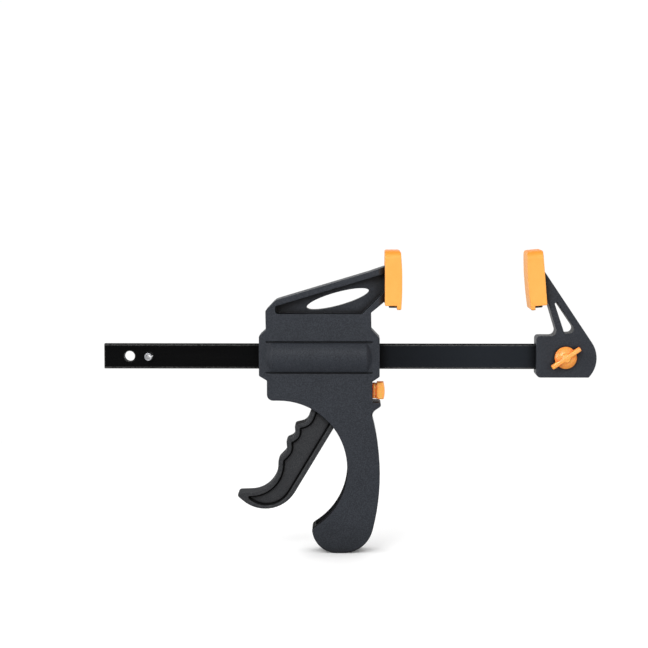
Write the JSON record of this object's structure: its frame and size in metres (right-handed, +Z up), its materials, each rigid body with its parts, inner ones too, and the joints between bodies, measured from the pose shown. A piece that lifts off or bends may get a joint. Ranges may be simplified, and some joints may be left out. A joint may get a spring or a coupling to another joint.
{
  "type": "quick release bar clamp",
  "caption": "One-handed bar clamp: a sliding head with trigger, release button and padded jaw rides on a flat steel bar towards a fixed jaw held by a wing screw.",
  "frame": {"origin": "centre of the hanging hole in the bar's free end, in the middle of the bar's thickness", "axes": "+X along the bar towards the fixed jaw, +Y through the clamp's thickness away from the wing knob, +Z up from the bar towards the jaw faces"},
  "size_m": [0.3282, 0.0305, 0.2029],
  "materials": {
    "black_steel": "blackened spring steel with a satin surface",
    "bright_steel": "zinc plated steel",
    "slate_plastic": "moulded glass filled nylon, fine texture",
    "trigger_plastic": "moulded nylon, slightly glossier than the head",
    "soft_orange": "soft thermoplastic rubber",
    "hard_orange": "moulded acetal",
    "spring_steel": "bright spring wire"
  },
  "bodies": {
    "bar": {"bar": "black_steel", "stop_pin": "bright_steel", "fixed_jaw": "slate_plastic", "fixed_pad": "soft_orange", "jaw_nut": "bright_steel"},
    "screw_slide": {"knob_washer": "bright_steel"},
    "knob": {"wing_knob": "hard_orange", "knob_stud": "bright_steel"},
    "head": {"near_shell": "slate_plastic", "far_shell": "slate_plastic", "moving_pad": "soft_orange", "shell_screws": "bright_steel", "trigger_pin": "bright_steel", "drive_spring": "spring_steel", "brake_spring": "spring_steel"},
    "drive": {"drive_plate_front": "bright_steel", "drive_plate_rear": "bright_steel", "spring_seat": "bright_steel"},
    "trigger": {"trigger": "trigger_plastic"},
    "release": {"brake_plate": "bright_steel", "release_button": "hard_orange"}
  },
  "joints": [
    {"name": "head_slide", "type": "slide", "parent": "bar", "child": "head", "axis": [1, 0, 0], "range_m": [-0.071, 0.08]},
    {"name": "trigger_pull", "type": "hinge", "parent": "head", "child": "trigger", "pos_m": [0.1318, 0, -0.0245], "axis": [0, -1, 0], "range_deg": [0, 20.5], "stiffness_Nm_per_rad": 1.5, "springref_deg": -5.73},
    {"name": "drive_stroke", "type": "slide", "parent": "head", "child": "drive", "axis": [1, 0, 0], "range_m": [-0.0045, 0], "deforming": ["drive_spring"]},
    {"name": "release_press", "type": "hinge", "parent": "head", "child": "release", "pos_m": [0.15575, 0, 0.01231], "axis": [0, 1, 0], "range_deg": [0, 3.5], "stiffness_Nm_per_rad": 0.8, "springref_deg": -2.86, "deforming": ["brake_spring"]},
    {"name": "knob_out", "type": "slide", "parent": "bar", "child": "screw_slide", "axis": [0, -1, 0], "range_m": [0, 0.012]},
    {"name": "knob_turn", "type": "hinge", "parent": "screw_slide", "child": "knob", "pos_m": [0.2905, 0, 0], "axis": [0, -1, 0], "range_deg": [0, 4320]}
  ],
  "couplings": [
    {"joint": "drive_stroke", "follows": "trigger_pull", "m_per_rad": -0.0125},
    {"joint": "knob_turn", "follows": "knob_out", "rad_per_m": 6283.2}
  ]
}
